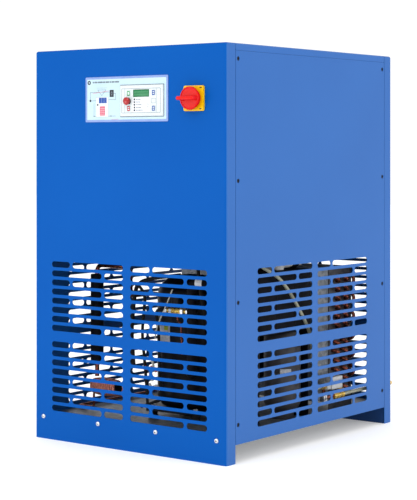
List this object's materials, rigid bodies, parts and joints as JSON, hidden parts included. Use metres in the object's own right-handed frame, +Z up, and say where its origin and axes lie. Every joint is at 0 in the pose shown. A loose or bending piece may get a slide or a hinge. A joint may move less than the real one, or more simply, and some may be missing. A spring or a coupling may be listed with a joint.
{
  "type": "refrigerated air dryer",
  "caption": "Floor-standing refrigerated compressed-air dryer: blue louvred sheet-metal cabinet with control panel, main switch and the refrigeration set inside.",
  "frame": {"origin": "on the floor, under the middle of the cabinet", "axes": "+Z up, +X to the right seen from the front, +Y from the front to the rear"},
  "size_m": [0.65, 0.88, 1.05],
  "materials": {
    "front_panel": "satin fine-textured powder coat, bright blue",
    "side_panels": "satin fine-textured powder coat, greyer blue",
    "galvanised": "galvanised sheet with soft spangle",
    "screws": "bright zinc plate",
    "label": "printed matt polyester label",
    "white_plastic": "fine-textured moulding",
    "display": "backlit liquid crystal window",
    "green_key": "membrane key with green border",
    "red_key": "membrane key with red border",
    "blue_keys": "membrane key with blue border",
    "stop_button": "moulded red",
    "switch_plate": "moulded yellow",
    "switch_handle": "moulded red",
    "grey_plastic": "moulded grey",
    "black_paint": "semi-gloss black enamel",
    "rubber": "matt black rubber",
    "foam": "closed-cell elastomer foam",
    "fins": "mill-finish fins",
    "dark_steel": "dark grey paint",
    "air_pipes": "silver paint",
    "copper": "bare copper, slightly oxidised",
    "brass": "bare brass",
    "handle_yellow": "yellow dipped coating",
    "hose": "translucent yellowish hose"
  },
  "bodies": {
    "root": {"front_panel": "front_panel", "rear_panel": "side_panels", "right_side_panel": "side_panels", "left_side_panel": "side_panels", "top_cover": "side_panels", "front_base_beam": "side_panels", "rear_base_beam": "side_panels", "front_left_post": "side_panels", "front_right_post": "side_panels", "rear_left_post": "side_panels", "rear_right_post": "side_panels", "base_pan": "galvanised", "electrical_tray": "galvanised", "condenser_left_sheet": "galvanised", "condenser_right_sheet": "galvanised", "fan_motor_bracket": "galvanised", "fan_shroud": "galvanised", "front_screw_1": "screws", "front_screw_2": "screws", "front_screw_3": "screws", "front_screw_4": "screws", "control_fascia": "label", "controller_housing": "white_plastic", "display_window": "display", "main_switch_plate": "switch_plate", "main_switch_body": "grey_plastic", "contactor": "grey_plastic", "drain_solenoid": "grey_plastic", "compressor_shell": "black_paint", "compressor_base": "black_paint", "compressor_terminal_cover": "black_paint", "exchanger_stand": "black_paint", "fan_motor": "black_paint", "compressor_grommet_1": "rubber", "compressor_grommet_2": "rubber", "compressor_grommet_3": "rubber", "compressor_grommet_4": "rubber", "cable_gland": "rubber", "heat_exchanger": "foam", "suction_pipe": "foam", "condenser_core": "fins", "moisture_separator": "dark_steel", "air_inlet_pipe": "air_pipes", "air_outlet_pipe": "air_pipes", "filter_drier": "copper", "capillary_coil": "copper", "discharge_pipe": "copper", "hot_gas_valve": "brass", "drain_valve": "brass", "drain_outlet": "brass", "drain_hose": "hose", "condensate_hose": "hose"},
    "main_switch": {"main_switch_handle": "switch_handle"},
    "stop_push": {"stop_button": "stop_button"},
    "start_push": {"start_key": "green_key"},
    "stop_key_push": {"stop_key": "red_key"},
    "up_push": {"up_key": "blue_keys"},
    "down_push": {"down_key": "blue_keys"},
    "fan": {"fan_rotor": "black_paint"},
    "drain_lever": {"drain_valve_handle": "handle_yellow"}
  },
  "joints": [
    {"name": "main_switch_turn", "type": "hinge", "parent": "root", "child": "main_switch", "pos_m": [0.225, -0.41, 0.9123], "axis": [0, 1, 0], "range_deg": [0, 90]},
    {"name": "stop_button_press", "type": "slide", "parent": "root", "child": "stop_push", "axis": [0, 1, 0], "range_m": [0, 0.004], "stiffness_N_per_m": 900},
    {"name": "start_key_press", "type": "slide", "parent": "root", "child": "start_push", "axis": [0, 1, 0], "range_m": [0, 0.0008], "stiffness_N_per_m": 400},
    {"name": "stop_key_press", "type": "slide", "parent": "root", "child": "stop_key_push", "axis": [0, 1, 0], "range_m": [0, 0.0008], "stiffness_N_per_m": 400},
    {"name": "up_key_press", "type": "slide", "parent": "root", "child": "up_push", "axis": [0, 1, 0], "range_m": [0, 0.0008], "stiffness_N_per_m": 400},
    {"name": "down_key_press", "type": "slide", "parent": "root", "child": "down_push", "axis": [0, 1, 0], "range_m": [0, 0.0008], "stiffness_N_per_m": 400},
    {"name": "condenser_fan_spin", "type": "hinge", "parent": "root", "child": "fan", "pos_m": [0.035, 0.112, 0.285], "axis": [0, 1, 0], "continuous": true},
    {"name": "drain_valve_turn", "type": "hinge", "parent": "root", "child": "drain_lever", "pos_m": [0.305, 0.155, 0.12], "axis": [0, 0, 1], "range_deg": [0, 90]}
  ]
}
